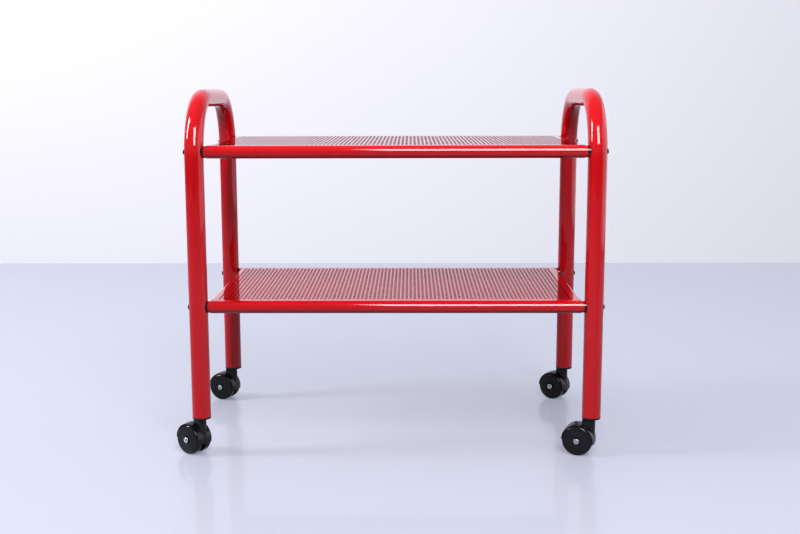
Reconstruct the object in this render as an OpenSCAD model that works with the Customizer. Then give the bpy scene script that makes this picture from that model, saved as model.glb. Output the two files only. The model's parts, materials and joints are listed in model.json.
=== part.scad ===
// Two-shelf tubular serving trolley on four swivelling twin-wheel casters.
// Each bent tube is a pair of legs and a push handle in one; two perforated steel shelves
// roll over rails that are bolted between the legs.
// X runs along the shelves, Y from front to back, Z up from the floor.
// The origin is on the floor, midway between the four caster stems.

/* [End frames] */
// Distance between the left and the right leg axes
leg_span = 668; // [500:1:900]
// Distance between the front and the back leg axes
leg_depth = 350; // [280:1:450]
// Height of the handle tube's axis above the floor
handle_height = 607; // [560:1:800]
// Height of the tube's open ends above the floor
leg_end_height = 68; // [66:1:75]
// Outside diameter of the frame tube
frame_tube_d = 32; // [28:0.5:38]
// Wall thickness of the frame tube
frame_tube_wall = 1.5; // [1:0.1:2.5]
// Centreline radius of the two bends of the handle
bend_radius = 98; // [60:1:130]

/* [Shelves] */
// Height of the upper shelf's rail axes
upper_rail_height = 520; // [400:1:540]
// Height of the lower shelf's rail axes
lower_rail_height = 259; // [150:1:350]
// Outside diameter of the rail tubes
rail_d = 20; // [16:0.5:24]
// Wall thickness of the rail tubes
rail_wall = 1.5; // [1:0.1:2.5]
// Gap between a rail's square-cut end and the leg beside it
rail_end_gap = 1; // [0.5:0.1:3]
// Thickness of the shelf sheet
sheet_thickness = 0.8; // [0.6:0.1:1.5]
// How far the sheet's ends stop short of the rail's ends
sheet_set_back = 4.5; // [2:0.5:10]
// Angle through which the sheet is rolled round each rail
roll_angle = 225; // [185:5:250]
// Depth of the turned-down lip at each end of a shelf
lip_depth = 9; // [5:0.5:9]

/* [Rail plugs and bolts] */
// Length of a plug inside its rail
plug_length = 22; // [15:1:30]
// Diameter of the shelf bolts
bolt_d = 6; // [5:0.5:6]
// Diameter of the bolts' button heads
bolt_head_d = 10.5; // [10.5:0.5:12]
// Height of the bolts' button heads
bolt_head_height = 2; // [2:0.1:3.3]

/* [Casters] */
// Wheel diameter
wheel_d = 52; // [48:0.5:52]
// Horizontal distance from the swivel axis to the wheel axle
trail = 21; // [19:0.5:22]
// Half the width over the two wheels' rims
rim_half_width = 17; // [15:0.5:18]
// Crown of each wheel's outer face
face_crown = 1.4; // [0.5:0.1:2]
// Half the width of the hood over the wheels
hood_half_width = 15.5; // [13:0.5:16]
// Swivel angle of the front left caster, zero when its wheels trail to the left
swivel_front_left = -36; // [-180:1:180]
// Swivel angle of the front right caster
swivel_front_right = -20.5; // [-180:0.5:180]
// Swivel angle of the back left caster
swivel_back_left = -22.5; // [-180:0.5:180]
// Swivel angle of the back right caster
swivel_back_right = -37.5; // [-180:0.5:180]

/* [Hidden] */
$fn = 96;
eps = 0.01;
lacquer_red = "firebrick";
moulding_black = "dimgray";
bolt_black = "darkslategray";
bright_steel = "silver";

// Places taken from the driving dimensions
leg_x = leg_span / 2;
leg_y = leg_depth / 2;
frame_r = frame_tube_d / 2;
frame_bore_r = frame_r - frame_tube_wall;
bend_height = handle_height - bend_radius;
rail_r = rail_d / 2;
rail_bore_r = rail_r - rail_wall;
rail_end_x = leg_x - frame_r - rail_end_gap;
sheet_end_x = rail_end_x - sheet_set_back;

// Plugs, nuts and bolts
bolt_clearance_d = bolt_d + 0.5;
bolt_tip_x = rail_end_x - plug_length - 1;
bolt_key_d = 4.6;
bolt_key_depth = 1.3;
nut_flats = 10;
nut_height = 5;
nut_pocket_play = 0.1;

// Leg socket, stem and grip ring
flange_height = 3.2;
flange_edge = 0.8;
socket_length = 30;
socket_bore_d = 10;
stem_d = 9.6;
stem_top_z = leg_end_height + 28;
ring_groove_d = 8.3;
ring_height = 3;
ring_z = leg_end_height + 20;
ring_gap = 1.6;
collar_d = 13;
collar_height = 1.2;
journal_d = 8;
stem_head_d = 10.5;
stem_head_height = 2;

// Caster hood, axle and wheels, in the caster's own frame: stem on the origin, axle at -trail
wheel_r = wheel_d / 2;
axle_z = wheel_r;
running_play = 0.05;
face_gap = 0.3;
wheel_gap = 0.8;
hood_inner_r = wheel_r + wheel_gap;
hood_outer_r = hood_inner_r + 2;
hood_crown_r = 80;
hood_foot_angle = 12;
web_half = 3.6;
hub_half = 3.9;
hub_r = 7;
boss_d = 14.5;
boss_top_z = leg_end_height - flange_height - collar_height - face_gap;
boss_foot_z = axle_z + 3;
neck_back_x = -14.5;
neck_top_z = boss_top_z - 0.9;
neck_foot_z = axle_z + 18;
pocket_d = stem_head_d + 0.9;
pocket_foot_z = axle_z + 20;
pocket_top_z = axle_z + 24.8;
stem_head_z = pocket_top_z - face_gap - stem_head_height;
axle_d = 6;
wheel_inner_y = hub_half + face_gap;
wheel_hub_y = rim_half_width + face_crown;
rim_round = 5;
inner_round = 1.5;
cap_d = 10.5;
cap_inner_y = wheel_hub_y + face_gap;
cap_height = 1.6;
axle_half = cap_inner_y + 0.6;

// Every corner of the trolley: name, side along X, side along Y, swivel angle
CORNERS = [
  ["front_left", -1, -1, swivel_front_left],
  ["front_right", 1, -1, swivel_front_right],
  ["back_left", -1, 1, swivel_back_left],
  ["back_right", 1, 1, swivel_back_right],
];
// Both shelves: name and height of the rail axes
SHELVES = [["upper", upper_rail_height], ["lower", lower_rail_height]];
SIDES = [["left", -1], ["right", 1]];
EDGES = [["front", -1], ["back", 1]];
CASTER_PARTS = ["socket", "stem", "grip_ring", "hood", "axle", "axle_caps", "wheel_near", "wheel_far"];

// ---- End frames: one bent tube makes two legs and the push handle between them ----

// The run of the tube as a solid rod; tail lengthens the legs below their ends
module bent_rod(r, tail) {
  for (m = [0, 1])
    mirror([0, m, 0]) {
      translate([0, leg_y, leg_end_height - tail])
        cylinder(r = r, h = bend_height - leg_end_height + tail);
      translate([0, leg_y - bend_radius, bend_height])
        rotate([90, 0, 90])
          rotate_extrude(angle = 90)
            translate([bend_radius, 0])
              circle(r = r);
    }
  translate([0, bend_radius - leg_y, handle_height])
    rotate([-90, 0, 0])
      cylinder(r = r, h = 2 * (leg_y - bend_radius));
}

module end_frame(side) {
  color(lacquer_red)
    translate([side * leg_x, 0, 0])
      difference() {
        bent_rod(frame_r, 0);
        bent_rod(frame_bore_r, 1);
        for (k = SHELVES, e = EDGES)
          translate([-frame_r - 1, e[1] * leg_y, k[1]])
            rotate([0, 90, 0])
              cylinder(d = bolt_clearance_d, h = frame_tube_d + 2);
      }
}

// ---- Shelves: sheet rolled over a tube along the front and the back ----

module rail(height, edge) {
  color(lacquer_red)
    translate([-rail_end_x, edge * leg_y, height])
      rotate([0, 90, 0])
        difference() {
          cylinder(r = rail_r, h = 2 * rail_end_x);
          translate([0, 0, -1])
            cylinder(r = rail_bore_r, h = 2 * rail_end_x + 2);
        }
}

// Section of the shelf across its depth, with its rolled edges; the rail axes lie on y = 0
module shelf_section() {
  reach = 2 * rail_d;
  translate([-leg_y, rail_r])
    square([leg_depth, sheet_thickness]);
  for (m = [0, 1])
    mirror([m, 0])
      translate([leg_y, 0])
        difference() {
          circle(r = rail_r + sheet_thickness);
          circle(r = rail_r);
          polygon([[0, 0], [0, reach], [-reach, reach],
                   [-reach, 0], reach * [cos(90 - roll_angle), sin(90 - roll_angle)]]);
        }
}

// Quarter bend and lip that stiffen each end of the sheet, drawn as a section along X
module lip_section(bend_r) {
  translate([sheet_end_x - bend_r, rail_r + sheet_thickness - bend_r])
    intersection() {
      difference() {
        circle(r = bend_r);
        circle(r = bend_r - sheet_thickness);
      }
      square(bend_r);
    }
  translate([sheet_end_x - sheet_thickness, rail_r + sheet_thickness - lip_depth])
    square([sheet_thickness, lip_depth - bend_r]);
}

module shelf(height) {
  bend_r = 2.5;
  lip_half = leg_y - rail_r - sheet_thickness - 2;
  color(lacquer_red)
    translate([0, 0, height]) {
      rotate([90, 0, 90])
        linear_extrude(height = 2 * (sheet_end_x - bend_r), center = true)
          shelf_section();
      for (m = [0, 1])
        mirror([m, 0, 0]) {
          translate([sheet_end_x - bend_r, 0, 0])
            rotate([90, 0, 90])
              linear_extrude(height = bend_r)
                difference() {
                  shelf_section();
                  translate([-lip_half, 0])
                    square([2 * lip_half, rail_d]);
                }
          translate([0, lip_half, 0])
            rotate([90, 0, 0])
              linear_extrude(height = 2 * lip_half)
                lip_section(bend_r);
        }
    }
}

// ---- Rail plugs, nuts and bolts: drawn at a right-hand rail end, mirrored for the left ----

module at_rail_end(height, edge, side) {
  mirror([side < 0 ? 1 : 0, 0, 0])
    translate([0, edge * leg_y, height])
      children();
}

module along_x(from_x) {
  translate([from_x, 0, 0])
    rotate([0, 90, 0])
      children();
}

// Moulded plug with a collar that is coped to the leg, bend included, and a pocket for the nut
module rail_plug(height, edge, side) {
  color(moulding_black)
    at_rail_end(height, edge, side)
      difference() {
        union() {
          along_x(rail_end_x) cylinder(r = rail_r, h = leg_x - rail_end_x);
          along_x(rail_end_x - plug_length) cylinder(r = rail_bore_r, h = plug_length);
        }
        translate([leg_x, -edge * leg_y, -height])
          bent_rod(frame_r, 0);
        along_x(rail_end_x - plug_length - 1) cylinder(d = bolt_clearance_d, h = leg_span);
        along_x(rail_end_x - plug_length - 1)
          cylinder(d = (nut_flats + nut_pocket_play) / cos(30), h = nut_height + 1, $fn = 6);
      }
}

module nuts(height) {
  color(bright_steel)
    for (e = EDGES, s = SIDES)
      at_rail_end(height, e[1], s[1])
        along_x(rail_end_x - plug_length)
          difference() {
            cylinder(d = nut_flats / cos(30), h = nut_height, $fn = 6);
            translate([0, 0, -1])
              cylinder(d = bolt_d, h = nut_height + 2);
          }
}

// Button-head bolt from the outside of the leg through both walls into the nut
module bolts(height) {
  head_sphere_r = (pow(bolt_head_d / 2, 2) + pow(bolt_head_height, 2)) / (2 * bolt_head_height);
  head_x = leg_x + frame_r;
  color(bolt_black)
    for (e = EDGES, s = SIDES)
      at_rail_end(height, e[1], s[1])
        difference() {
          union() {
            along_x(bolt_tip_x) cylinder(d = bolt_d, h = head_x - bolt_tip_x + eps);
            along_x(head_x)
              intersection() {
                translate([0, 0, bolt_head_height - head_sphere_r])
                  sphere(r = head_sphere_r);
                cylinder(d = bolt_head_d, h = bolt_head_height);
              }
          }
          along_x(head_x + bolt_head_height - bolt_key_depth)
            cylinder(d = bolt_key_d, h = bolt_key_depth + 1, $fn = 6);
        }
}

// ---- Legs' foot sockets and caster stems ----

module socket() {
  color(moulding_black)
    translate([0, 0, leg_end_height])
      difference() {
        union() {
          cylinder(r = frame_bore_r, h = socket_length);
          translate([0, 0, flange_edge - flange_height])
            cylinder(r = frame_r, h = flange_height - flange_edge);
          translate([0, 0, -flange_height])
            cylinder(r1 = frame_r - flange_edge, r2 = frame_r, h = flange_edge);
        }
        translate([0, 0, -flange_height - 1])
          cylinder(d = socket_bore_d, h = socket_length + flange_height + 2);
      }
}

// Turned pin: a grooved shank in the socket, a collar, a journal in the hood and a riveted head
module stem() {
  collar_z = boss_top_z + face_gap;
  tip = 1.5;
  color(bright_steel) {
    difference() {
      translate([0, 0, collar_z])
        cylinder(d = stem_d, h = stem_top_z - tip - collar_z);
      translate([0, 0, ring_z])
        difference() {
          cylinder(d = stem_d + 2, h = ring_height);
          cylinder(d = ring_groove_d, h = ring_height);
        }
    }
    translate([0, 0, stem_top_z - tip])
      cylinder(d1 = stem_d, d2 = stem_d - 2 * tip, h = tip);
    translate([0, 0, collar_z])
      cylinder(d = collar_d, h = collar_height);
    translate([0, 0, stem_head_z])
      cylinder(d = journal_d, h = collar_z - stem_head_z + eps);
    translate([0, 0, stem_head_z])
      cylinder(d = stem_head_d, h = stem_head_height);
  }
}

// Split spring ring that holds the stem in its socket
module grip_ring() {
  color(bright_steel)
    translate([0, 0, ring_z])
      difference() {
        cylinder(d = socket_bore_d, h = ring_height);
        translate([0, 0, -1])
          cylinder(d = ring_groove_d, h = ring_height + 2);
        translate([0, -ring_gap / 2, -1])
          cube([socket_bore_d, ring_gap, ring_height + 2]);
      }
}

// ---- Caster: hood, axle, caps and two wheels ----

// Turns a shape drawn round Z so that it lies round the wheel axle, X to X and Y to Z
module round_axle() {
  translate([-trail, 0, axle_z])
    rotate([90, 0, 0])
      children();
}

module hood() {
  sweep = 180 + hood_foot_angle;
  web_set_back = 3;
  web_reach = 2 * wheel_d;
  color(moulding_black) {
    difference() {
      union() {
        // crowned mudguard over both wheels
        round_axle()
          rotate([0, 0, -hood_foot_angle])
            rotate_extrude(angle = sweep)
              intersection() {
                translate([hood_inner_r - 0.5, -hood_half_width])
                  square([4, 2 * hood_half_width]);
                translate([hood_outer_r - hood_crown_r, 0])
                  circle(r = hood_crown_r, $fn = 180);
              }
        // web between the wheels, a little shorter than the mudguard at both ends
        round_axle()
          linear_extrude(height = 2 * web_half, center = true)
            difference() {
              circle(r = hood_inner_r + 0.5);
              polygon([[0, 0], web_reach * [cos(180 - web_set_back), sin(180 - web_set_back)],
                       [-web_reach, -web_reach], [web_reach, -web_reach],
                       web_reach * [cos(web_set_back - hood_foot_angle),
                                    sin(web_set_back - hood_foot_angle)]]);
            }
        // swivel boss and the neck that ties it to the mudguard
        translate([0, 0, boss_foot_z])
          cylinder(d = boss_d, h = boss_top_z - boss_foot_z);
        translate([neck_back_x, -boss_d / 2, neck_foot_z])
          cube([-neck_back_x, boss_d, neck_top_z - neck_foot_z]);
      }
      for (m = [0, 1])
        mirror([0, m, 0])
          round_axle()
            translate([0, 0, web_half])
              cylinder(r = hood_inner_r, h = wheel_d);
      translate([0, 0, pocket_foot_z])
        cylinder(d = pocket_d, h = pocket_top_z - pocket_foot_z);
      translate([0, 0, pocket_top_z - 1])
        cylinder(d = journal_d + 2 * running_play, h = leg_end_height - pocket_top_z);
      round_axle()
        translate([0, 0, -wheel_d])
          cylinder(d = axle_d, h = 2 * wheel_d);
    }
    round_axle()
      difference() {
        translate([0, 0, -hub_half])
          cylinder(r = hub_r, h = 2 * hub_half);
        translate([0, 0, -wheel_d])
          cylinder(d = axle_d, h = 2 * wheel_d);
      }
  }
}

module axle() {
  color(bright_steel)
    round_axle()
      translate([0, 0, -axle_half])
        cylinder(d = axle_d, h = 2 * axle_half);
}

// Domed push-on caps that keep the wheels on the axle
module axle_caps() {
  cap_sphere_r = (pow(cap_d / 2, 2) + 1) / 2;
  color(bright_steel)
    for (m = [0, 1])
      mirror([0, m, 0])
        round_axle()
          translate([0, 0, cap_inner_y])
            difference() {
              intersection() {
                cylinder(d = cap_d, h = cap_height);
                translate([0, 0, cap_height - cap_sphere_r])
                  sphere(r = cap_sphere_r);
              }
              translate([0, 0, -1])
                cylinder(d = axle_d, h = axle_half - cap_inner_y + 1);
            }
}

// One moulded wheel: flat inside, rounded rim, shallow domed outer face, running bore
module wheel() {
  hub_bore_r = axle_d / 2 + running_play;
  round_r = wheel_r - rim_round;
  round_y = rim_half_width - rim_round;
  dome_r = (pow(round_r, 2) + pow(face_crown, 2)) / (2 * face_crown);
  color(moulding_black)
    rotate_extrude()
      difference() {
        union() {
          translate([0, wheel_inner_y])
            square([wheel_r - inner_round, round_y - wheel_inner_y]);
          translate([0, wheel_inner_y + inner_round])
            square([wheel_r, round_y - wheel_inner_y - inner_round]);
          translate([wheel_r - inner_round, wheel_inner_y + inner_round])
            circle(r = inner_round);
          translate([round_r, round_y])
            circle(r = rim_round);
          intersection() {
            translate([0, round_y - 1])
              square([round_r, wheel_hub_y - round_y + 1]);
            translate([0, wheel_hub_y - dome_r])
              circle(r = dome_r, $fn = 360);
          }
        }
        translate([-wheel_d, 0])
          square([wheel_d + hub_bore_r, wheel_d]);
      }
}

// ---- Placing ----

module at_caster(corner) {
  translate([corner[1] * leg_x, corner[2] * leg_y, 0])
    rotate([0, 0, corner[3]])
      children();
}

module caster_part(corner, part) {
  at_caster(corner) {
    if (part == "socket") socket();
    if (part == "stem") stem();
    if (part == "grip_ring") grip_ring();
    if (part == "hood") hood();
    if (part == "axle") axle();
    if (part == "axle_caps") axle_caps();
    if (part == "wheel_near") round_axle() wheel();
    if (part == "wheel_far") round_axle() mirror([0, 0, 1]) wheel();
  }
}

for (s = SIDES)
  end_frame(s[1]);
for (k = SHELVES) {
  shelf(k[1]);
  bolts(k[1]);
  nuts(k[1]);
}
for (k = SHELVES, e = EDGES)
  rail(k[1], e[1]);
for (k = SHELVES, e = EDGES, s = SIDES)
  rail_plug(k[1], e[1], s[1]);
for (c = CORNERS, p = CASTER_PARTS)
  caster_part(c, p);
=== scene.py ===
import json
from math import atan2, cos, hypot, pi, radians, sin, sqrt

import bmesh
import bpy
from mathutils import Matrix, Vector


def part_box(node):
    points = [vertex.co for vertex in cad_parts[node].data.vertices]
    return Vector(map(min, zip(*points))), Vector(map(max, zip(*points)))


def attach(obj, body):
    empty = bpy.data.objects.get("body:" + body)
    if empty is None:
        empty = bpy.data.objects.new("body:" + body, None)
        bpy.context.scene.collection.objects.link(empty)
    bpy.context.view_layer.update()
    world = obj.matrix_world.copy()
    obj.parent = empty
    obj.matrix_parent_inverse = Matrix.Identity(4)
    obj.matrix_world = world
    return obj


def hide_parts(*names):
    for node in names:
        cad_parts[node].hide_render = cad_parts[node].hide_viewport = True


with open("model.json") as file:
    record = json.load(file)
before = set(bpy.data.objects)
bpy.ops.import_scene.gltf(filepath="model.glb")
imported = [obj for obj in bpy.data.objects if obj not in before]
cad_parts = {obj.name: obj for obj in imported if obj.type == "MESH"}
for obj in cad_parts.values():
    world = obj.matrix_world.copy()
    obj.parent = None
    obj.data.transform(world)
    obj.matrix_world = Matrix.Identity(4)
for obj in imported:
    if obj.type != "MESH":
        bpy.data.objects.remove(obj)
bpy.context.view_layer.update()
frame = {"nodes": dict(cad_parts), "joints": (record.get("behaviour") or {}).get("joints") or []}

joints = {joint["name"]: joint for joint in frame["joints"]}


# ---------------------------------------------------------------------------
# End frames. Each is one 32 mm steel tube bent twice in a tube bender, so that it makes the
# front leg, the push handle and the back leg. Sprayed with glossy red lacquer and stoved.
# ---------------------------------------------------------------------------

def shader_group(name, inputs, outputs):
    """An empty shader node group with float inputs, given with their defaults, and float outputs."""
    group = bpy.data.node_groups.new(name, "ShaderNodeTree")
    for socket, default in inputs.items():
        entry = group.interface.new_socket(socket, in_out="INPUT", socket_type="NodeSocketFloat")
        entry.default_value = default
    for socket in outputs:
        group.interface.new_socket(socket, in_out="OUTPUT", socket_type="NodeSocketFloat")
    return group, group.nodes.new("NodeGroupInput"), group.nodes.new("NodeGroupOutput")


def make_surface_skin():
    """Fine surface ripple as a height, and a slow cloudy mask, both fixed to the piece."""
    group, given, result = shader_group(
        "surface_skin", {"Ripple Scale": 400, "Cloud Scale": 9}, ["Ripple", "Cloud"])
    place = group.nodes.new("ShaderNodeTexCoord")
    for socket, detail in (("Ripple", 2), ("Cloud", 4)):
        noise = group.nodes.new("ShaderNodeTexNoise")
        noise.inputs["Detail"].default_value = detail
        group.links.new(place.outputs["Object"], noise.inputs["Vector"])
        group.links.new(given.outputs[socket + " Scale"], noise.inputs["Scale"])
        group.links.new(noise.outputs["Fac"], result.inputs[socket])
    return group


def make_edge_rub():
    """Mask that is 1 on edges that hands and cloths have rubbed, broken up by noise."""
    group, given, result = shader_group("edge_rub", {"Width": 0.0006, "Breakup Scale": 150}, ["Mask"])
    rounded = group.nodes.new("ShaderNodeBevel")
    rounded.samples = 4
    true_face = group.nodes.new("ShaderNodeNewGeometry")
    match = group.nodes.new("ShaderNodeVectorMath")
    match.operation = "DOT_PRODUCT"
    edge = group.nodes.new("ShaderNodeMapRange")
    edge.inputs["From Min"].default_value = 0.995
    edge.inputs["From Max"].default_value = 0.93
    place = group.nodes.new("ShaderNodeTexCoord")
    noise = group.nodes.new("ShaderNodeTexNoise")
    breakup = group.nodes.new("ShaderNodeMapRange")
    breakup.inputs["From Min"].default_value = 0.42
    breakup.inputs["From Max"].default_value = 0.62
    both = group.nodes.new("ShaderNodeMath")
    both.operation = "MULTIPLY"
    links = group.links
    links.new(given.outputs["Width"], rounded.inputs["Radius"])
    links.new(rounded.outputs["Normal"], match.inputs[0])
    links.new(true_face.outputs["Normal"], match.inputs[1])
    links.new(match.outputs["Value"], edge.inputs["Value"])
    links.new(place.outputs["Object"], noise.inputs["Vector"])
    links.new(given.outputs["Breakup Scale"], noise.inputs["Scale"])
    links.new(noise.outputs["Fac"], breakup.inputs["Value"])
    links.new(edge.outputs["Result"], both.inputs[0])
    links.new(breakup.outputs["Result"], both.inputs[1])
    links.new(both.outputs["Value"], result.inputs["Mask"])
    return group


surface_skin = make_surface_skin()
edge_rub = make_edge_rub()


def finish(name, colour, clouded, rubbed, roughness, ripple, rub_width, fixed, hole_shade=(0, 0, 0)):
    """A painted, moulded or plated finish.

    colour turns to clouded with the slow mask, to rubbed along edges, and to the last colour, a painted
    shade, on the faces that a mesh marks for it; roughness is its lowest and highest value; ripple is
    scale, depth; fixed are the shader's own constant settings.
    """
    material = bpy.data.materials.new(name)
    material.use_nodes = True
    nodes, links = material.node_tree.nodes, material.node_tree.links
    shader = nodes["Principled BSDF"]
    for socket, value in fixed.items():
        shader.inputs[socket].default_value = value
    skin = nodes.new("ShaderNodeGroup")
    skin.node_tree = surface_skin
    skin.inputs["Ripple Scale"].default_value = ripple[0]
    rub = nodes.new("ShaderNodeGroup")
    rub.node_tree = edge_rub
    rub.inputs["Width"].default_value = rub_width
    shade = nodes.new("ShaderNodeMix")
    shade.data_type = "RGBA"
    shade.inputs["A"].default_value = (*colour, 1)
    shade.inputs["B"].default_value = (*clouded, 1)
    worn = nodes.new("ShaderNodeMix")
    worn.data_type = "RGBA"
    worn.inputs["B"].default_value = (*rubbed, 1)
    gloss = nodes.new("ShaderNodeMapRange")
    gloss.inputs["From Min"].default_value = 0.3
    gloss.inputs["From Max"].default_value = 0.7
    gloss.inputs["To Min"].default_value = roughness[0]
    gloss.inputs["To Max"].default_value = roughness[1]
    bump = nodes.new("ShaderNodeBump")
    bump.inputs["Distance"].default_value = ripple[1]
    bump.inputs["Strength"].default_value = 0.6
    # painted shade: faces that the mesh marks as the holes' walls take the dark last colour in place of the
    # shade inside the holes
    wall = nodes.new("ShaderNodeAttribute")
    wall.attribute_name = "hole_shade"
    hole_shade_mix = nodes.new("ShaderNodeMix")
    hole_shade_mix.data_type = "RGBA"
    hole_shade_mix.inputs["B"].default_value = (*hole_shade, 1)
    links.new(skin.outputs["Cloud"], shade.inputs["Factor"])
    links.new(shade.outputs["Result"], worn.inputs["A"])
    links.new(rub.outputs["Mask"], worn.inputs["Factor"])
    links.new(worn.outputs["Result"], hole_shade_mix.inputs["A"])
    links.new(wall.outputs["Fac"], hole_shade_mix.inputs["Factor"])
    links.new(hole_shade_mix.outputs["Result"], shader.inputs["Base Color"])
    links.new(skin.outputs["Cloud"], gloss.inputs["Value"])
    links.new(gloss.outputs["Result"], shader.inputs["Roughness"])
    links.new(skin.outputs["Ripple"], bump.inputs["Height"])
    links.new(bump.outputs["Normal"], shader.inputs["Normal"])
    return material


# the last colour is painted shade for the walls of the shelves' holes
red_lacquer = finish(
    "red_lacquer", (0.56, 0.008, 0.015), (0.50, 0.006, 0.013), (0.32, 0.009, 0.014),
    (0.05, 0.10), (550, 0.000004), 0.0005,
    {"Specular IOR Level": 0.4, "Coat Weight": 0.5, "Coat Roughness": 0.04}, (0.12, 0.005, 0.014))


def weld(name, points, faces):
    """A closed mesh: coincident points become one, and every face looks outwards."""
    mesh = bpy.data.meshes.new(name)
    mesh.from_pydata(points, [], faces)
    shape = bmesh.new()
    shape.from_mesh(mesh)
    bmesh.ops.remove_doubles(shape, verts=shape.verts, dist=1e-6)
    bmesh.ops.recalc_face_normals(shape, faces=shape.faces)
    shape.to_mesh(mesh)
    shape.free()
    return mesh


def ring(centre, across, along, radius, count=64):
    """Points of a circle in the plane of two unit vectors."""
    turns = [2 * pi * k / count for k in range(count)]
    return [centre + radius * (cos(t) * across + sin(t) * along) for t in turns]


def skin_rings(name, rings):
    """A closed mesh over a loop of rings: each joins the next, and the last joins the first."""
    count = len(rings[0])
    faces = []
    for i in range(len(rings)):
        first, second = i * count, (i + 1) % len(rings) * count
        for k in range(count):
            turn = (k + 1) % count
            faces.append((first + k, first + turn, second + turn, second + k))
    return weld(name, [point for one in rings for point in one], faces)


def hollow_tube(name, stations, outer, inner):
    """A tube with a wall: stations are its centre points with the two directions of its section."""
    skins = [ring(*station, outer) for station in stations]
    skins += [ring(*station, inner) for station in reversed(stations)]
    return skin_rings(name, skins)


def add_piece(name, mesh, material, body, slot, *nodes):
    """The mesh as a piece of a body, smooth but for its real edges, in place of the CAD's nodes."""
    mesh.shade_smooth()
    mesh.set_sharp_from_angle(angle=radians(35))
    mesh.materials.clear()
    mesh.materials.append(material)
    piece = bpy.data.objects.new(name, mesh)
    bpy.context.scene.collection.objects.link(piece)
    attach(piece, body)
    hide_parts(*nodes)
    return piece


AXIS_X, AXIS_Y, AXIS_Z = Vector((1, 0, 0)), Vector((0, 1, 0)), Vector((0, 0, 1))
frame_wall = 0.0015
bend_radius = 0.098
bend_steps = 28

for side in ("left", "right"):
    low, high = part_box("end_frame_" + side)
    tube_r = (high.x - low.x) / 2
    leg_x = (low.x + high.x) / 2
    leg_y = high.y - tube_r
    bend_z = high.z - tube_r - bend_radius
    stations = [(Vector((leg_x, -leg_y, low.z)), -AXIS_Y, AXIS_X)]
    for way, turns in ((-1, range(bend_steps + 1)), (1, range(bend_steps, -1, -1))):
        for step in turns:
            angle = pi / 2 * step / bend_steps
            outwards = Vector((0, way * cos(angle), sin(angle)))
            centre = Vector((leg_x, way * (leg_y - bend_radius), bend_z)) + bend_radius * outwards
            stations.append((centre, outwards, AXIS_X))
    stations.append((Vector((leg_x, leg_y, low.z)), AXIS_Y, AXIS_X))
    tube = hollow_tube(side + "_frame_tube", stations, tube_r, tube_r - frame_wall)
    add_piece(side + "_frame_tube", tube, red_lacquer, "root", "red_lacquer", "end_frame_" + side)


# ---------------------------------------------------------------------------
# Rails. Four 20 mm steel tubes, cut square, that run between the legs inside the rolled
# edges of the shelves. Lacquered with the shelf.
# ---------------------------------------------------------------------------

rail_wall = 0.0015

for shelf in ("upper", "lower"):
    for edge in ("front", "back"):
        node = f"{shelf}_rail_{edge}"
        low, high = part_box(node)
        middle = (low + high) / 2
        rail_r = (high.z - low.z) / 2
        ends = [(Vector((x, middle.y, middle.z)), AXIS_Y, AXIS_Z) for x in (low.x, high.x)]
        tube = hollow_tube(node + "_tube", ends, rail_r, rail_r - rail_wall)
        add_piece(node + "_tube", tube, red_lacquer, "root", "red_lacquer", node)


# ---------------------------------------------------------------------------
# Shelves. 0.8 mm sheet steel, punched with 5 mm holes in staggered columns, rolled round a rail
# along the front and the back, with a lip turned down at each end. Lacquered in one with its rails.
# ---------------------------------------------------------------------------

sheet = 0.0008
hole_pitch = 0.008
column_pitch = hole_pitch * sqrt(3) / 2
hole_r = 0.00256  # of a twelve-sided hole with the area of a round 5 mm one
column_count = 87
column_holes = 41
field_shift = -0.0025
roll_turn = radians(225)
roll_steps = 30
lip_bend = 0.0025
lip_depth = 0.009
lip_steps = 6
lip_clear = 0.002
notch_length = 0.001
notch_width = 0.0008


class SheetDrawing:
    """The flat of a sheet, drawn once, and then given its thickness, rolls and lips."""

    def __init__(self):
        self.points = []
        self.flats = []

    def add(self, x, y):
        self.points.append((x, y))
        return len(self.points) - 1

    def face(self, loop):
        turn = 0
        for a, b in zip(loop, loop[1:] + loop[:1]):
            (ax, ay), (bx, by) = self.points[a], self.points[b]
            turn += ax * by - bx * ay
        self.flats.append(loop if turn > 0 else loop[::-1])


def punch_field(drawing):
    """The staggered holes and the metal between them.

    Returns each hole by its column and row: its twelve points by their angle in degrees.
    """
    holes = {}
    for column in range(column_count):
        odd = column % 2
        x = (column - (column_count - 1) / 2) * column_pitch + field_shift
        for row in range(column_holes - odd):
            y = (row - (column_holes - 1) / 2 + odd / 2) * hole_pitch
            rim = {}
            for angle in range(15, 360, 30):
                turn = radians(angle)
                rim[angle] = drawing.add(x + hole_r * cos(turn), y + hole_r * sin(turn))
            holes[column, row] = rim
    for (column, row), rim in holes.items():
        odd = column % 2
        upper = holes.get((column + 1, row + odd))
        lower = holes.get((column + 1, row + odd - 1))
        above = holes.get((column, row + 1))
        if upper:
            drawing.face([rim[15], upper[225], upper[195], rim[45]])
        if lower:
            drawing.face([rim[315], lower[165], lower[135], rim[345]])
        if above:
            drawing.face([rim[75], above[285], above[255], rim[105]])
        if upper and above:
            drawing.face([rim[75], rim[45], upper[195], upper[165], above[315], above[285]])
        if upper and lower:
            drawing.face([rim[15], rim[345], lower[135], lower[105], upper[255], upper[225]])
    return holes


def side_chain(holes, end):
    """Rim points down one end column, from front to back."""
    column = 0 if end < 0 else column_count - 1
    angles = (255, 225, 195, 165, 135, 105) if end < 0 else (285, 315, 345, 15, 45, 75)
    chain = []
    for row in range(column_holes):
        picked = list(angles)
        if row == 0:
            picked.pop(0)
        if row == column_holes - 1:
            picked.pop()
        chain += [holes[column, row][angle] for angle in picked]
    return chain


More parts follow.
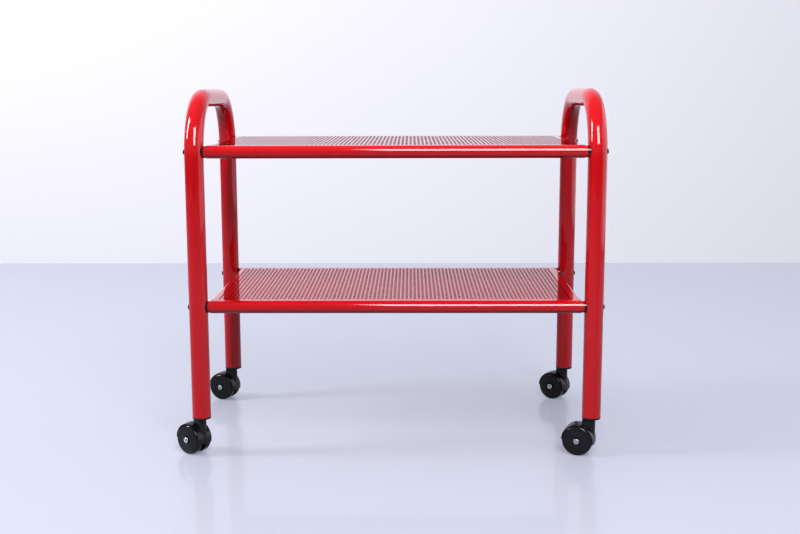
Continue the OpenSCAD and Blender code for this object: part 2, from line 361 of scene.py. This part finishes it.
def edge_chain(holes, way):
    """Rim points along the front or the back of the field, from left to right."""
    near = (165, 195, 225, 255, 285, 315, 345, 15)
    far = (225, 255, 285, 315)
    if way > 0:
        near = tuple(360 - angle for angle in near)
        far = tuple(360 - angle for angle in far)
    chain = []
    for column in range(column_count):
        odd = column % 2
        row = 0 if way < 0 else column_holes - 1 - odd
        picked = list(far if odd else near)
        if column == 0:
            picked = picked[2:]
        if column == column_count - 1:
            picked = picked[:-2]
        chain += [holes[column, row][angle] for angle in picked]
    return chain


def shelf_mesh(name, end_x, top, rail, rail_r):
    """The whole sheet of one shelf as one closed mesh; rail is the back rail's middle."""
    bend_x = end_x - lip_bend
    notch_x = bend_x - notch_length
    lip_y = rail.y - rail_r - sheet - lip_clear
    drawing = SheetDrawing()
    holes = punch_field(drawing)
    corner = {}
    for end in (-1, 1):
        for way in (-1, 1):
            corner[end, way] = [
                drawing.add(end * bend_x, way * lip_y),
                drawing.add(end * notch_x, way * lip_y),
                drawing.add(end * notch_x, way * (lip_y + notch_width)),
                drawing.add(end * end_x, way * (lip_y + notch_width)),
                drawing.add(end * end_x, way * rail.y),
            ]
    for end in (-1, 1):
        chain = side_chain(holes, end)
        front, back = corner[end, -1], corner[end, 1]
        drawing.face([front[0], back[0], back[1]] + chain[::-1] + [front[1]])
    for way in (-1, 1):
        chain = edge_chain(holes, way)
        left, right = corner[-1, way], corner[1, way]
        drawing.face(left[:0:-1] + chain + right[1:])
    points = [(x, y, top) for x, y in drawing.points]
    under = len(points)
    points += [(x, y, top - sheet) for x, y in drawing.points]
    faces = list(drawing.flats)
    faces += [tuple(under + k for k in reversed(flat)) for flat in drawing.flats]

    # folded edges: the two rolls and the two lips, each a run of stations of four points
    folds = []
    for way in (-1, 1):
        a, b = corner[-1, way][4], corner[1, way][4]
        stations = []
        for step in range(1, roll_steps + 1):
            angle = roll_turn * step / roll_steps
            station = []
            for radius in (rail_r + sheet, rail_r):
                y = way * (rail.y + radius * sin(angle))
                z = rail.z + radius * cos(angle)
                station += [(-end_x, y, z), (end_x, y, z)]
            stations.append(station)
        folds.append((a, b, stations))
    for end in (-1, 1):
        a, b = corner[end, -1][0], corner[end, 1][0]
        stations = []
        for step in range(1, lip_steps + 2):
            angle = pi / 2 * min(step, lip_steps) / lip_steps
            drop = lip_depth - lip_bend if step > lip_steps else 0
            station = []
            for radius in (lip_bend, lip_bend - sheet):
                x = end * (bend_x + radius * sin(angle))
                z = top - lip_bend + radius * cos(angle) - drop
                station += [(x, -lip_y, z), (x, lip_y, z)]
            stations.append(station)
        folds.append((a, b, stations))
    folded = set()
    for a, b, stations in folds:
        folded |= {(a, b), (b, a)}
        last = (a, b, under + a, under + b)
        for station in stations:
            fresh = tuple(range(len(points), len(points) + 4))
            points += station
            for i, j in ((0, 1), (3, 2), (2, 0), (1, 3)):
                faces.append((last[i], last[j], fresh[j], fresh[i]))
            last = fresh
        faces.append((last[0], last[1], last[3], last[2]))

    # walls of the sheet's thickness wherever a flat face has no neighbour
    runs = set()
    for flat in drawing.flats:
        runs |= set(zip(flat, flat[1:] + flat[:1]))
    for a, b in runs:
        if (b, a) not in runs and (a, b) not in folded:
            faces.append((b, a, under + a, under + b))
    mesh = weld(name, points, faces)

    # the holes' walls are marked for painted shade: the material darkens them to stand in for the shade
    # inside the holes
    hole_shade = mesh.attributes.new("hole_shade", "FLOAT", "FACE")
    for face in mesh.polygons:
        hole_shade.data[face.index].value = abs(face.normal.z) < 0.5 and face.center.z > top - sheet
    return mesh


for shelf in ("upper", "lower"):
    node = shelf + "_shelf"
    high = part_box(node)[1]
    rail_low, rail_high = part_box(shelf + "_rail_back")
    rail = (rail_low + rail_high) / 2
    rail_r = (rail_high.z - rail_low.z) / 2
    mesh = shelf_mesh(node + "_sheet", high.x, high.z, rail, rail_r)
    add_piece(node + "_sheet", mesh, red_lacquer, "root", "red_lacquer", node)


# ---------------------------------------------------------------------------
# Rail plugs. Black nylon mouldings pushed into the rail ends, with a collar coped to the round
# leg and a six-sided pocket that keeps the nut from turning.
# ---------------------------------------------------------------------------

black_moulding = finish(
    "black_moulding", (0.012, 0.012, 0.015), (0.018, 0.018, 0.021), (0.05, 0.05, 0.055),
    (0.12, 0.22), (900, 0.00001), 0.0004, {"Specular IOR Level": 0.5})

plug_length = 0.022
plug_bore_r = 0.00325
plug_chamfer = 0.0004
plug_sides = 60
pocket_depth = 0.005
pocket_flat = 0.00505
collar_edge = 0.0003
cope_rings = (0.8, 0.55)


def lathe_point(radius, turn, flat):
    """Radius at a turn: round, or six-sided where flat is the distance to its flats."""
    if flat:
        radius = flat / cos(turn % (pi / 3) - pi / 6)
    return radius


def leg_face(y, z):
    """How far out in X the inner face of a leg or its bend stands at a place beside it."""
    if z > bend_z:
        offset = hypot(abs(y) - leg_y + bend_radius, z - bend_z) - bend_radius
    else:
        offset = abs(y) - leg_y
    return leg_x - sqrt(tube_r ** 2 - offset ** 2)


def plug_mesh(name, rail_end, centre, rail_r, side):
    """A plug along X, from its inner end over its outside and back through its bore.

    Profile points are radius, depth into the rail (None on the coped face) and whether six-sided.
    """
    bore_r = rail_r - rail_wall
    profile = [
        (pocket_flat, plug_length, True), (bore_r - plug_chamfer, plug_length, False),
        (bore_r, plug_length - plug_chamfer, False), (bore_r, 0, False),
        (rail_r - collar_edge, 0, False), (rail_r, -collar_edge, False), (rail_r, None, False),
    ]
    profile += [(rail_r * share, None, False) for share in cope_rings]
    profile += [
        (plug_bore_r, None, False), (plug_bore_r, plug_length - pocket_depth, False),
        (pocket_flat, plug_length - pocket_depth, True),
    ]
    rings = []
    for radius, depth, six in profile:
        points = []
        for k in range(plug_sides):
            turn = 2 * pi * k / plug_sides
            reach = lathe_point(radius, turn, radius if six else 0)
            y, z = centre.y + reach * sin(turn), centre.z + reach * cos(turn)
            x = leg_face(y, z) if depth is None else rail_end - depth
            points.append(Vector((side * x, y, z)))
        rings.append(points)
    return skin_rings(name, rings)


for shelf in ("upper", "lower"):
    for edge in ("front", "back"):
        rail_low, rail_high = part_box(f"{shelf}_rail_{edge}")
        for side, way in (("left", -1), ("right", 1)):
            node = f"{shelf}_plug_{edge}_{side}"
            mesh = plug_mesh(node + "_moulding", rail_high.x, (rail_low + rail_high) / 2,
                             (rail_high.z - rail_low.z) / 2, way)
            add_piece(node + "_moulding", mesh, black_moulding, "root", "black_moulding", node)


# ---------------------------------------------------------------------------
# Shelf bolts and nuts. M6 button-head screws in black oxide, with a hexagon socket, through the
# leg into a zinc-plated nut in the plug. The nuts keep their CAD shape.
# ---------------------------------------------------------------------------

black_bolt = finish(
    "black_bolt", (0.020, 0.020, 0.023), (0.032, 0.031, 0.032), (0.16, 0.155, 0.15),
    (0.30, 0.45), (1200, 0.00002), 0.0004, {"Metallic": 0.6})
zinc_steel = finish(
    "zinc_steel", (0.60, 0.60, 0.62), (0.50, 0.50, 0.53), (0.74, 0.74, 0.76),
    (0.24, 0.40), (1500, 0.00002), 0.0003, {"Metallic": 1.0})

bolt_r = 0.003
bolt_length = 0.0575
tip_chamfer = 0.0006
head_r = 0.00525
head_height = 0.002
head_edge = 0.0001
dome_steps = 8
key_flat = 0.0023 * cos(pi / 6)
key_depth = 0.0013
key_mouth_drop = 0.0004
key_rim_r = 0.003
key_rim_drop = 0.0001


def turn_rings(profile, place, count=60):
    """Rings round the Z axis of place, one for each point of a profile.

    A point is radius and height, and True after them for six flats.
    """
    rings = []
    for radius, height, *six in profile:
        turns = [2 * pi * k / count for k in range(count)]
        reach = [lathe_point(radius, turn, radius if six else 0) for turn in turns]
        rings.append([place @ Vector((r * cos(t), r * sin(t), height)) for r, t in zip(reach, turns)])
    return rings


def join_meshes(name, meshes):
    """Several closed meshes as one mesh."""
    shape = bmesh.new()
    for mesh in meshes:
        shape.from_mesh(mesh)
        bpy.data.meshes.remove(mesh)
    joined = bpy.data.meshes.new(name)
    shape.to_mesh(joined)
    shape.free()
    return joined


def plate(node):
    """Zinc plating on a CAD node that keeps its own shape."""
    steel = frame["nodes"][node].data.materials
    steel.clear()
    steel.append(zinc_steel)


def bolt_profile():
    """A bolt from the bottom of its socket over the button head and down the shank to the tip."""
    dome_r = (head_r ** 2 + head_height ** 2) / (2 * head_height)
    profile = [(0, head_height - key_depth), (key_flat, head_height - key_depth, True)]
    profile += [(key_flat, head_height - key_mouth_drop, True), (key_rim_r, head_height - key_rim_drop)]
    for step in range(1, dome_steps + 1):
        radius = key_rim_r + (head_r - key_rim_r) * step / dome_steps
        profile.append((radius, head_height - dome_r + sqrt(dome_r ** 2 - radius ** 2)))
    profile += [(head_r - head_edge, 0), (bolt_r, 0), (bolt_r, tip_chamfer - bolt_length)]
    profile += [(bolt_r - tip_chamfer, -bolt_length), (0, -bolt_length)]
    return profile


for shelf in ("upper", "lower"):
    low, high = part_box(shelf + "_bolts")
    centre = (low + high) / 2
    rail_low, rail_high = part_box(shelf + "_rail_back")
    rail = (rail_low + rail_high) / 2
    seat_x = high.x - head_height
    meshes = []
    for side in (-1, 1):
        for way in (-1, 1):
            seat = Matrix.Translation((side * seat_x, way * rail.y, centre.z))
            place = seat @ Matrix.Rotation(side * pi / 2, 4, "Y")
            meshes.append(skin_rings("bolt", turn_rings(bolt_profile(), place)))
    bolts = join_meshes(shelf + "_shelf_bolts", meshes)
    add_piece(shelf + "_shelf_bolts", bolts, black_bolt, "root", "black_bolt", shelf + "_bolts")

for shelf in ("upper", "lower"):
    plate(shelf + "_nuts")


# ---------------------------------------------------------------------------
# Leg sockets, caster stems and grip rings. A black nylon plug in each leg's open end, with a flange
# as wide as the tube; the turned, zinc-plated stem clicks into it with a split ring.
# ---------------------------------------------------------------------------

flange_height = 0.0032
flange_round = 0.0008
flange_steps = 4
barrel_chamfer = 0.001
socket_bore_r = 0.005
socket_sides = 72
corners = [f"{depth}_{side}" for depth in ("front", "back") for side in ("left", "right")]

for corner in corners:
    low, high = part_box(corner + "_socket")
    centre = (low + high) / 2
    outer = (high.x - low.x) / 2
    barrel = tube_r - frame_wall
    profile = [(socket_bore_r, 0)]
    length = high.z - low.z
    for step in range(flange_steps + 1):
        angle = pi / 2 * step / flange_steps
        reach = outer - flange_round + flange_round * sin(angle)
        profile.append((reach, flange_round - flange_round * cos(angle)))
    profile += [(outer, flange_height), (barrel, flange_height), (barrel, length - barrel_chamfer)]
    profile += [(barrel - barrel_chamfer, length), (socket_bore_r, length)]
    place = Matrix.Translation((centre.x, centre.y, low.z))
    mesh = skin_rings(corner + "_leg_socket", turn_rings(profile, place, socket_sides))
    add_piece(corner + "_leg_socket", mesh, black_moulding, "root", "black_moulding", corner + "_socket")
    plate(corner + "_stem")
    plate(corner + "_grip_ring")


# ---------------------------------------------------------------------------
# Caster hoods. One glossy black nylon moulding each: a crowned mudguard over both wheels, a web
# between them with the axle hub, and the swivel boss with the neck that ties it to the mudguard.
# ---------------------------------------------------------------------------

wheel_gap = 0.0008
wheel_room_half = 0.01
guard_thickness = 0.002
guard_half = 0.0155
guard_crown = 0.080
guard_foot = radians(-12)
guard_steps = 56
crown_steps = 8
rim_soft = 0.0006
rim_lean = 0.0001
web_half = 0.0036
web_steps = 48
web_set_back = radians(3)
web_bite = 0.0005
hub_half = 0.0039
hub_r = 0.007
axle_bore_r = 0.003
axle_bore_half = 0.02
boss_r = 0.00725
boss_lift = 0.003
boss_edge = 0.0005
boss_sides = 72
neck_length = 0.0145
neck_steps = 32
neck_round = 0.002
neck_round_steps = 6
neck_lift = 0.018
neck_drop = 0.0009
neck_soft = 0.0008
neck_bevel = 0.0002
journal_gap_r = 0.00405
pocket_r = 0.0057
pocket_foot = 0.020
pocket_top = 0.0248
overcut = 0.001


def corner_frame(corner):
    """Where a caster stands: its stem on the origin, its axle towards -X, its near wheel towards -Y."""
    stem = Vector(joints[corner + "_swivel"]["pos_m"])
    axle = Vector(joints[corner + "_near_wheel_spin"]["pos_m"])
    trail = (stem - axle).xy
    place = Matrix.Translation((stem.x, stem.y, 0)) @ Matrix.Rotation(atan2(trail.y, trail.x), 4, "Z")
    return place, trail.length, axle.z


def temporary(mesh):
    """An object that lends its mesh to a cut or a join."""
    lent = bpy.data.objects.new(mesh.name, mesh)
    bpy.context.scene.collection.objects.link(lent)
    return lent


def cut_and_join(base, steps):
    """Applies joins and cuts, in order, to a closed mesh, and returns the finished mesh."""
    body = temporary(base)
    helpers = []
    for operation, mesh in steps:
        tool = temporary(mesh)
        helpers.append(tool)
        change = body.modifiers.new(operation.lower(), "BOOLEAN")
        change.operation = operation
        change.solver = "EXACT"
        change.object = tool
    bpy.context.view_layer.update()
    done = bpy.data.meshes.new_from_object(body.evaluated_get(bpy.context.evaluated_depsgraph_get()))
    for lent in [body] + helpers:
        bpy.data.objects.remove(lent)
    shape = bmesh.new()
    shape.from_mesh(done)
    bmesh.ops.remove_doubles(shape, verts=shape.verts, dist=1e-6)
    bmesh.ops.dissolve_degenerate(shape, edges=shape.edges, dist=1e-6)
    shape.to_mesh(done)
    shape.free()
    return done


def stack_loops(name, loops):
    """A closed mesh through equal loops of points, each joined to the next, with both ends closed."""
    count = len(loops[0])
    last = (len(loops) - 1) * count
    faces = [tuple(range(count)), tuple(range(last, last + count))]
    for first in range(0, last, count):
        second = first + count
        for k in range(count):
            turn = (k + 1) % count
            faces.append((first + k, first + turn, second + turn, second + k))
    return weld(name, [point for loop in loops for point in loop], faces)


def disc(radius, half, place, count=96):
    """A plain round bar across the caster, for the hub and for cuts."""
    profile = [(0, -half), (radius, -half), (radius, half), (0, half)]
    return skin_rings("disc", turn_rings(profile, place, count))


def guard_section(wheel_r):
    """Section of the mudguard as radius, y: crowned outside, cylindrical inside, with softened rims."""
    inner = wheel_r + wheel_gap
    crown_centre = inner + guard_thickness - guard_crown
    section = []
    for step in range(-crown_steps, crown_steps + 1):
        y = guard_half * step / crown_steps
        section.append((crown_centre + sqrt(guard_crown ** 2 - y ** 2), y))
    rim = section[-1][0] - rim_soft
    shoulder, shoulder_y = rim + rim_soft * 0.7, guard_half - rim_soft * 0.3
    section = [(rim, -guard_half), (shoulder, -shoulder_y)] + section[1:-1]
    section += [(shoulder, shoulder_y), (rim, guard_half)]
    return section + [(inner, guard_half - rim_lean), (inner, 0), (inner, rim_lean - guard_half)]


def guard_mesh(wheel_r, across):
    """The mudguard: its section carried round the wheels from the front foot to the back one."""
    section = guard_section(wheel_r)
    loops = []
    for step in range(guard_steps + 1):
        angle = guard_foot + (pi - guard_foot) * step / guard_steps
        loops.append([across @ Vector((r * cos(angle), r * sin(angle), -y)) for r, y in section])
    return stack_loops("guard", loops)


def web_mesh(wheel_r, across):
    """The web between the wheels: a flat wedge from the axle out into the mudguard."""
    reach = wheel_r + wheel_gap + web_bite
    sweep = pi - guard_foot - 2 * web_set_back
    wedge = [Vector((0, 0))]
    for step in range(web_steps + 1):
        angle = guard_foot + web_set_back + sweep * step / web_steps
        wedge.append(reach * Vector((cos(angle), sin(angle))))
    loops = [[across @ Vector((*point, z)) for point in wedge] for z in (-web_half, web_half)]
    return stack_loops("web", loops)


def neck_mesh(axle_z, boss_top):
    """The neck: half a circle round the stem and straight back over the mudguard, softened on top."""
    outline = []
    for step in range(neck_steps + 1):
        angle = pi / 2 - pi * step / neck_steps
        outline.append((boss_r * cos(angle), boss_r * sin(angle)))
    for way in (-1, 1):
        for step in range(neck_round_steps + 1)[::-way]:
            angle = pi / 2 * step / neck_round_steps
            outline.append((neck_round - neck_length - neck_round * sin(angle),
                            way * (boss_r - neck_round + neck_round * cos(angle))))
    top = boss_top - neck_drop
    levels = [(axle_z + neck_lift, 0), (top - neck_soft, 0)]
    levels += [(top - neck_bevel, neck_bevel), (top, neck_soft)]
    loops = []
    for z, inset in levels:
        shrink = 1 - inset / boss_r
        loops.append([Vector((x * shrink if x > 0 else x + inset, y * shrink, z)) for x, y in outline])
    return stack_loops("neck", loops)


def hood_mesh(name, place, trail, axle_z, boss_top):
    """One hood: boss and neck, less the wheels' room, with guard, web and hub added, then bored."""
    across = Matrix.Translation((-trail, 0, axle_z)) @ Matrix.Rotation(pi / 2, 4, "X")
    upright = Matrix.Identity(4)
    foot, edge_z = axle_z + boss_lift, boss_top - boss_edge
    profile = [(0, foot), (boss_r, foot), (boss_r, edge_z), (boss_r - boss_edge, boss_top), (0, boss_top)]
    boss = skin_rings("boss", turn_rings(profile, upright, boss_sides))
    foot, roof, over = axle_z + pocket_foot, axle_z + pocket_top, boss_top + overcut
    profile = [(0, foot), (pocket_r, foot), (pocket_r, roof)]
    profile += [(journal_gap_r, roof), (journal_gap_r, over), (0, over)]
    swivel = skin_rings("swivel", turn_rings(profile, upright, boss_sides))
    steps = [("UNION", neck_mesh(axle_z, boss_top))]
    for way in (-1, 1):
        beside = across @ Matrix.Translation((0, 0, way * (web_half + wheel_room_half)))
        steps.append(("DIFFERENCE", disc(axle_z + wheel_gap, wheel_room_half, beside)))
    steps += [("UNION", guard_mesh(axle_z, across)), ("UNION", web_mesh(axle_z, across))]
    steps += [("UNION", disc(hub_r, hub_half, across)), ("DIFFERENCE", swivel)]
    steps += [("DIFFERENCE", disc(axle_bore_r, axle_bore_half, across))]
    hood = cut_and_join(boss, steps)
    hood.name = name
    hood.transform(place)
    return hood


for corner in corners:
    place, trail, axle_z = corner_frame(corner)
    boss_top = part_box(corner + "_hood")[1].z
    mesh = hood_mesh(corner + "_caster_hood", place, trail, axle_z, boss_top)
    add_piece(corner + "_caster_hood", mesh, black_moulding, corner + "_caster", "black_moulding",
              corner + "_hood")


# ---------------------------------------------------------------------------
# Wheels. Two to a caster, moulded in black nylon: a flat inner face, a rounded rim and a shallow
# domed outer face with a dished ring round the axle cap. Each turns on its own.
# ---------------------------------------------------------------------------

wheel_black = finish(
    "wheel_black", (0.012, 0.012, 0.015), (0.017, 0.017, 0.020), (0.035, 0.035, 0.038),
    (0.09, 0.16), (800, 0.00001), 0.0005, {"Specular IOR Level": 0.5})

wheel_inner_y = 0.0042
rim_half = 0.017
face_crown = 0.0014
rim_round = 0.004
rim_steps = 12
inner_round = 0.0015
inner_steps = 5
bore_r = 0.00305
dish_r = 0.0072
dish_depth = 0.0007
dish_slope = 0.0006
face_steps = 8
wheel_sides = 96


def wheel_profile(wheel_r):
    """Wheel section as radius, distance from the caster's middle."""
    dome_foot = wheel_r - rim_round
    dome_r = (dome_foot ** 2 + face_crown ** 2) / (2 * face_crown)
    dome_centre = rim_half + face_crown - dome_r
    profile = [(bore_r, wheel_inner_y), (wheel_r - inner_round, wheel_inner_y)]
    for step in range(1, inner_steps + 1):
        angle = pi / 2 * step / inner_steps
        radius = wheel_r - inner_round * (1 - sin(angle))
        profile.append((radius, wheel_inner_y + inner_round * (1 - cos(angle))))
    for step in range(rim_steps + 1):
        angle = pi / 2 * step / rim_steps
        radius = wheel_r - rim_round * (1 - cos(angle))
        profile.append((radius, rim_half - rim_round * (1 - sin(angle))))
    for step in range(1, face_steps + 1):
        radius = dome_foot + (dish_r - dome_foot) * step / face_steps
        profile.append((radius, dome_centre + sqrt(dome_r ** 2 - radius ** 2)))
    floor_y = profile[-1][1] - dish_depth
    profile += [(dish_r - dish_slope / 2, floor_y + dish_slope / 3), (dish_r - dish_slope, floor_y)]
    profile.append((bore_r, floor_y))
    return profile


for corner in corners:
    place, trail, axle_z = corner_frame(corner)
    for wheel, way in (("near", -1), ("far", 1)):
        node = f"{corner}_wheel_{wheel}"
        across = place @ Matrix.Translation((-trail, 0, axle_z)) @ Matrix.Rotation(-way * pi / 2, 4, "X")
        mesh = skin_rings(node + "_moulding", turn_rings(wheel_profile(axle_z), across, wheel_sides))
        add_piece(node + "_moulding", mesh, wheel_black, f"{corner}_{wheel}_wheel", "wheel_black", node)


# ---------------------------------------------------------------------------
# Axles and axle caps. A 6 mm zinc-plated pin through both wheels, held at each end by a bright
# pressed steel cap with a rolled rim and a dimple.
# ---------------------------------------------------------------------------

axle_cap = finish(
    "axle_cap", (0.58, 0.58, 0.59), (0.42, 0.42, 0.43), (0.68, 0.68, 0.68),
    (0.18, 0.32), (1800, 0.00004), 0.0003, {"Metallic": 1.0})

cap_seat = 0.0187
cap_height = 0.0016
cap_r = 0.00525
cap_sides = 48
axle_end = 0.0193
axle_r = 0.003
cap_profile = [(axle_r, cap_seat)]
for inset, rise in ((0, 0), (0, 0.0007), (0.0002, 0.0012), (0.0006, 0.0015),
                    (0.0010, cap_height), (0.0014, 0.0015), (0.0018, 0.0010)):
    cap_profile.append((cap_r - inset, cap_seat + rise))
for radius, rise in ((0.0029, 0.0009), (0.0024, 0.0013), (0.0013, 0.0015), (0, cap_height)):
    cap_profile.append((radius, cap_seat + rise))
cap_profile += [(0, axle_end), (axle_r, axle_end)]

for corner in corners:
    place, trail, axle_z = corner_frame(corner)
    meshes = []
    for way in (-1, 1):
        across = place @ Matrix.Translation((-trail, 0, axle_z)) @ Matrix.Rotation(-way * pi / 2, 4, "X")
        meshes.append(skin_rings("cap", turn_rings(cap_profile, across, cap_sides)))
    caps = join_meshes(corner + "_pressed_caps", meshes)
    add_piece(corner + "_pressed_caps", caps, axle_cap, corner + "_caster", "axle_cap",
              corner + "_axle_caps")
    plate(corner + "_axle")


# ---------------------------------------------------------------------------
# The studio: a pale glossy floor, a white wall behind, soft light from windows on the left and
# behind the camera, and the camera in front at the height of the handles.
# ---------------------------------------------------------------------------

def studio_finish(name, colour, streak, roughness, coat, glow):
    """Painted floor or wall: faint clouds, a sheen that varies a little, and a glow that softens shadows.

    Its back is open, so that the trolley can be looked at from behind and from beneath.
    """
    material = bpy.data.materials.new(name)
    material.use_nodes = True
    nodes, links = material.node_tree.nodes, material.node_tree.links
    shader = nodes["Principled BSDF"]
    shader.inputs["Emission Color"].default_value = (*colour, 1)
    shader.inputs["Emission Strength"].default_value = glow
    shader.inputs["Specular IOR Level"].default_value = 0.1
    shader.inputs["Coat Weight"].default_value = coat
    shader.inputs["Coat Roughness"].default_value = 0.07
    skin = nodes.new("ShaderNodeGroup")
    skin.node_tree = surface_skin
    skin.inputs["Cloud Scale"].default_value = 1.5
    shade = nodes.new("ShaderNodeMix")
    shade.data_type = "RGBA"
    shade.inputs["A"].default_value = (*colour, 1)
    shade.inputs["B"].default_value = (*streak, 1)
    gloss = nodes.new("ShaderNodeMapRange")
    gloss.inputs["To Min"].default_value = roughness[0]
    gloss.inputs["To Max"].default_value = roughness[1]
    links.new(skin.outputs["Cloud"], shade.inputs["Factor"])
    links.new(shade.outputs["Result"], shader.inputs["Base Color"])
    links.new(skin.outputs["Cloud"], gloss.inputs["Value"])
    links.new(gloss.outputs["Result"], shader.inputs["Roughness"])
    face = nodes.new("ShaderNodeNewGeometry")
    open_back = nodes.new("ShaderNodeBsdfTransparent")
    one_sided = nodes.new("ShaderNodeMixShader")
    links.new(face.outputs["Backfacing"], one_sided.inputs["Fac"])
    links.new(shader.outputs["BSDF"], one_sided.inputs[1])
    links.new(open_back.outputs["BSDF"], one_sided.inputs[2])
    links.new(one_sided.outputs["Shader"], nodes["Material Output"].inputs["Surface"])
    return material


def stage_sheet(name, corners_at, material, bounce=True):
    """A flat sheet of the studio; without bounce it throws no coloured light back."""
    mesh = bpy.data.meshes.new(name)
    mesh.from_pydata(corners_at, [], [(0, 1, 2, 3)])
    mesh.materials.append(material)
    sheet_object = bpy.data.objects.new(name, mesh)
    sheet_object.visible_diffuse = bounce
    bpy.context.scene.collection.objects.link(sheet_object)


def window_light(name, at, aim, width, height, power, colour, lit=True, seen=True):
    """A soft rectangular light, pointed from one place at another; lit for matt, seen for glossy things."""
    light = bpy.data.lights.new(name, "AREA")
    light.shape = "RECTANGLE"
    light.size = width
    light.size_y = height
    light.energy = power
    light.color = colour
    lamp = bpy.data.objects.new(name, light)
    lamp.location = at
    lamp.visible_diffuse = lit
    lamp.visible_glossy = seen
    lamp.rotation_euler = (Vector(aim) - Vector(at)).to_track_quat("-Z", "Y").to_euler()
    bpy.context.scene.collection.objects.link(lamp)


room_half = 6.0
wall_y = 1.95
wall_height = 5.0
floor_paint = studio_finish(
    "floor_paint", (0.28, 0.294, 0.340), (0.29, 0.304, 0.348), (0.30, 0.40), 0.25, 0.70)
wall_paint = studio_finish(
    "wall_paint", (0.70, 0.70, 0.76), (0.71, 0.71, 0.76), (0.8, 0.9), 0.0, 0.25)
stage_sheet("floor", [(-room_half, -room_half, 0), (room_half, -room_half, 0), (room_half, wall_y, 0),
                      (-room_half, wall_y, 0)], floor_paint, bounce=False)
stage_sheet("wall", [(-room_half, wall_y, 0), (room_half, wall_y, 0), (room_half, wall_y, wall_height),
                     (-room_half, wall_y, wall_height)], wall_paint)

window_light("left_window", (-3.0, -0.4, 2.2), (0, 0, 0.4), 0.75, 1.6, 55, (1.0, 0.98, 0.96))
window_light("rear_window", (0.4, -2.1, 2.0), (0, 0, 0.45), 1.1, 1.4, 46, (1.0, 0.98, 0.98))
window_light("right_panel", (2.5, 0.0, 1.1), (0, 0, 0.5), 3.6, 2.2, 24, (1.0, 0.98, 1.0), lit=False)
window_light("back_panel", (-1.2, 0.5, 3.2), (-1.0, 1.7, 0), 3.0, 1.0, 10, (0.97, 0.97, 1.0), seen=False)

world = bpy.data.worlds.new("room_light")
world.use_nodes = True
room_nodes, room_links = world.node_tree.nodes, world.node_tree.links
room_nodes["Background"].inputs["Color"].default_value = (0.90, 0.92, 1.0, 1)
direction = room_nodes.new("ShaderNodeTexCoord")
axes = room_nodes.new("ShaderNodeSeparateXYZ")
height = room_nodes.new("ShaderNodeMapRange")
height.inputs["From Min"].default_value = -0.1
height.inputs["From Max"].default_value = 0.2
height.inputs["To Min"].default_value = 0.12
height.inputs["To Max"].default_value = 0.42
room_links.new(direction.outputs["Generated"], axes.inputs["Vector"])
room_links.new(axes.outputs["Z"], height.inputs["Value"])
room_links.new(height.outputs["Result"], room_nodes["Background"].inputs["Strength"])
bpy.context.scene.world = world
bpy.context.scene.view_settings.view_transform = "Standard"
bpy.context.scene.view_settings.look = "High Contrast"

camera_data = bpy.data.cameras.new("camera")
camera_data.lens = 50.85
camera_data.sensor_width = 36
camera = bpy.data.objects.new("camera", camera_data)
camera.location = (0.0257, -2.0487, 0.6283)
camera.rotation_euler = (radians(90 - 9.131), radians(0.14), radians(0.545))
bpy.context.scene.collection.objects.link(camera)
bpy.context.scene.camera = camera
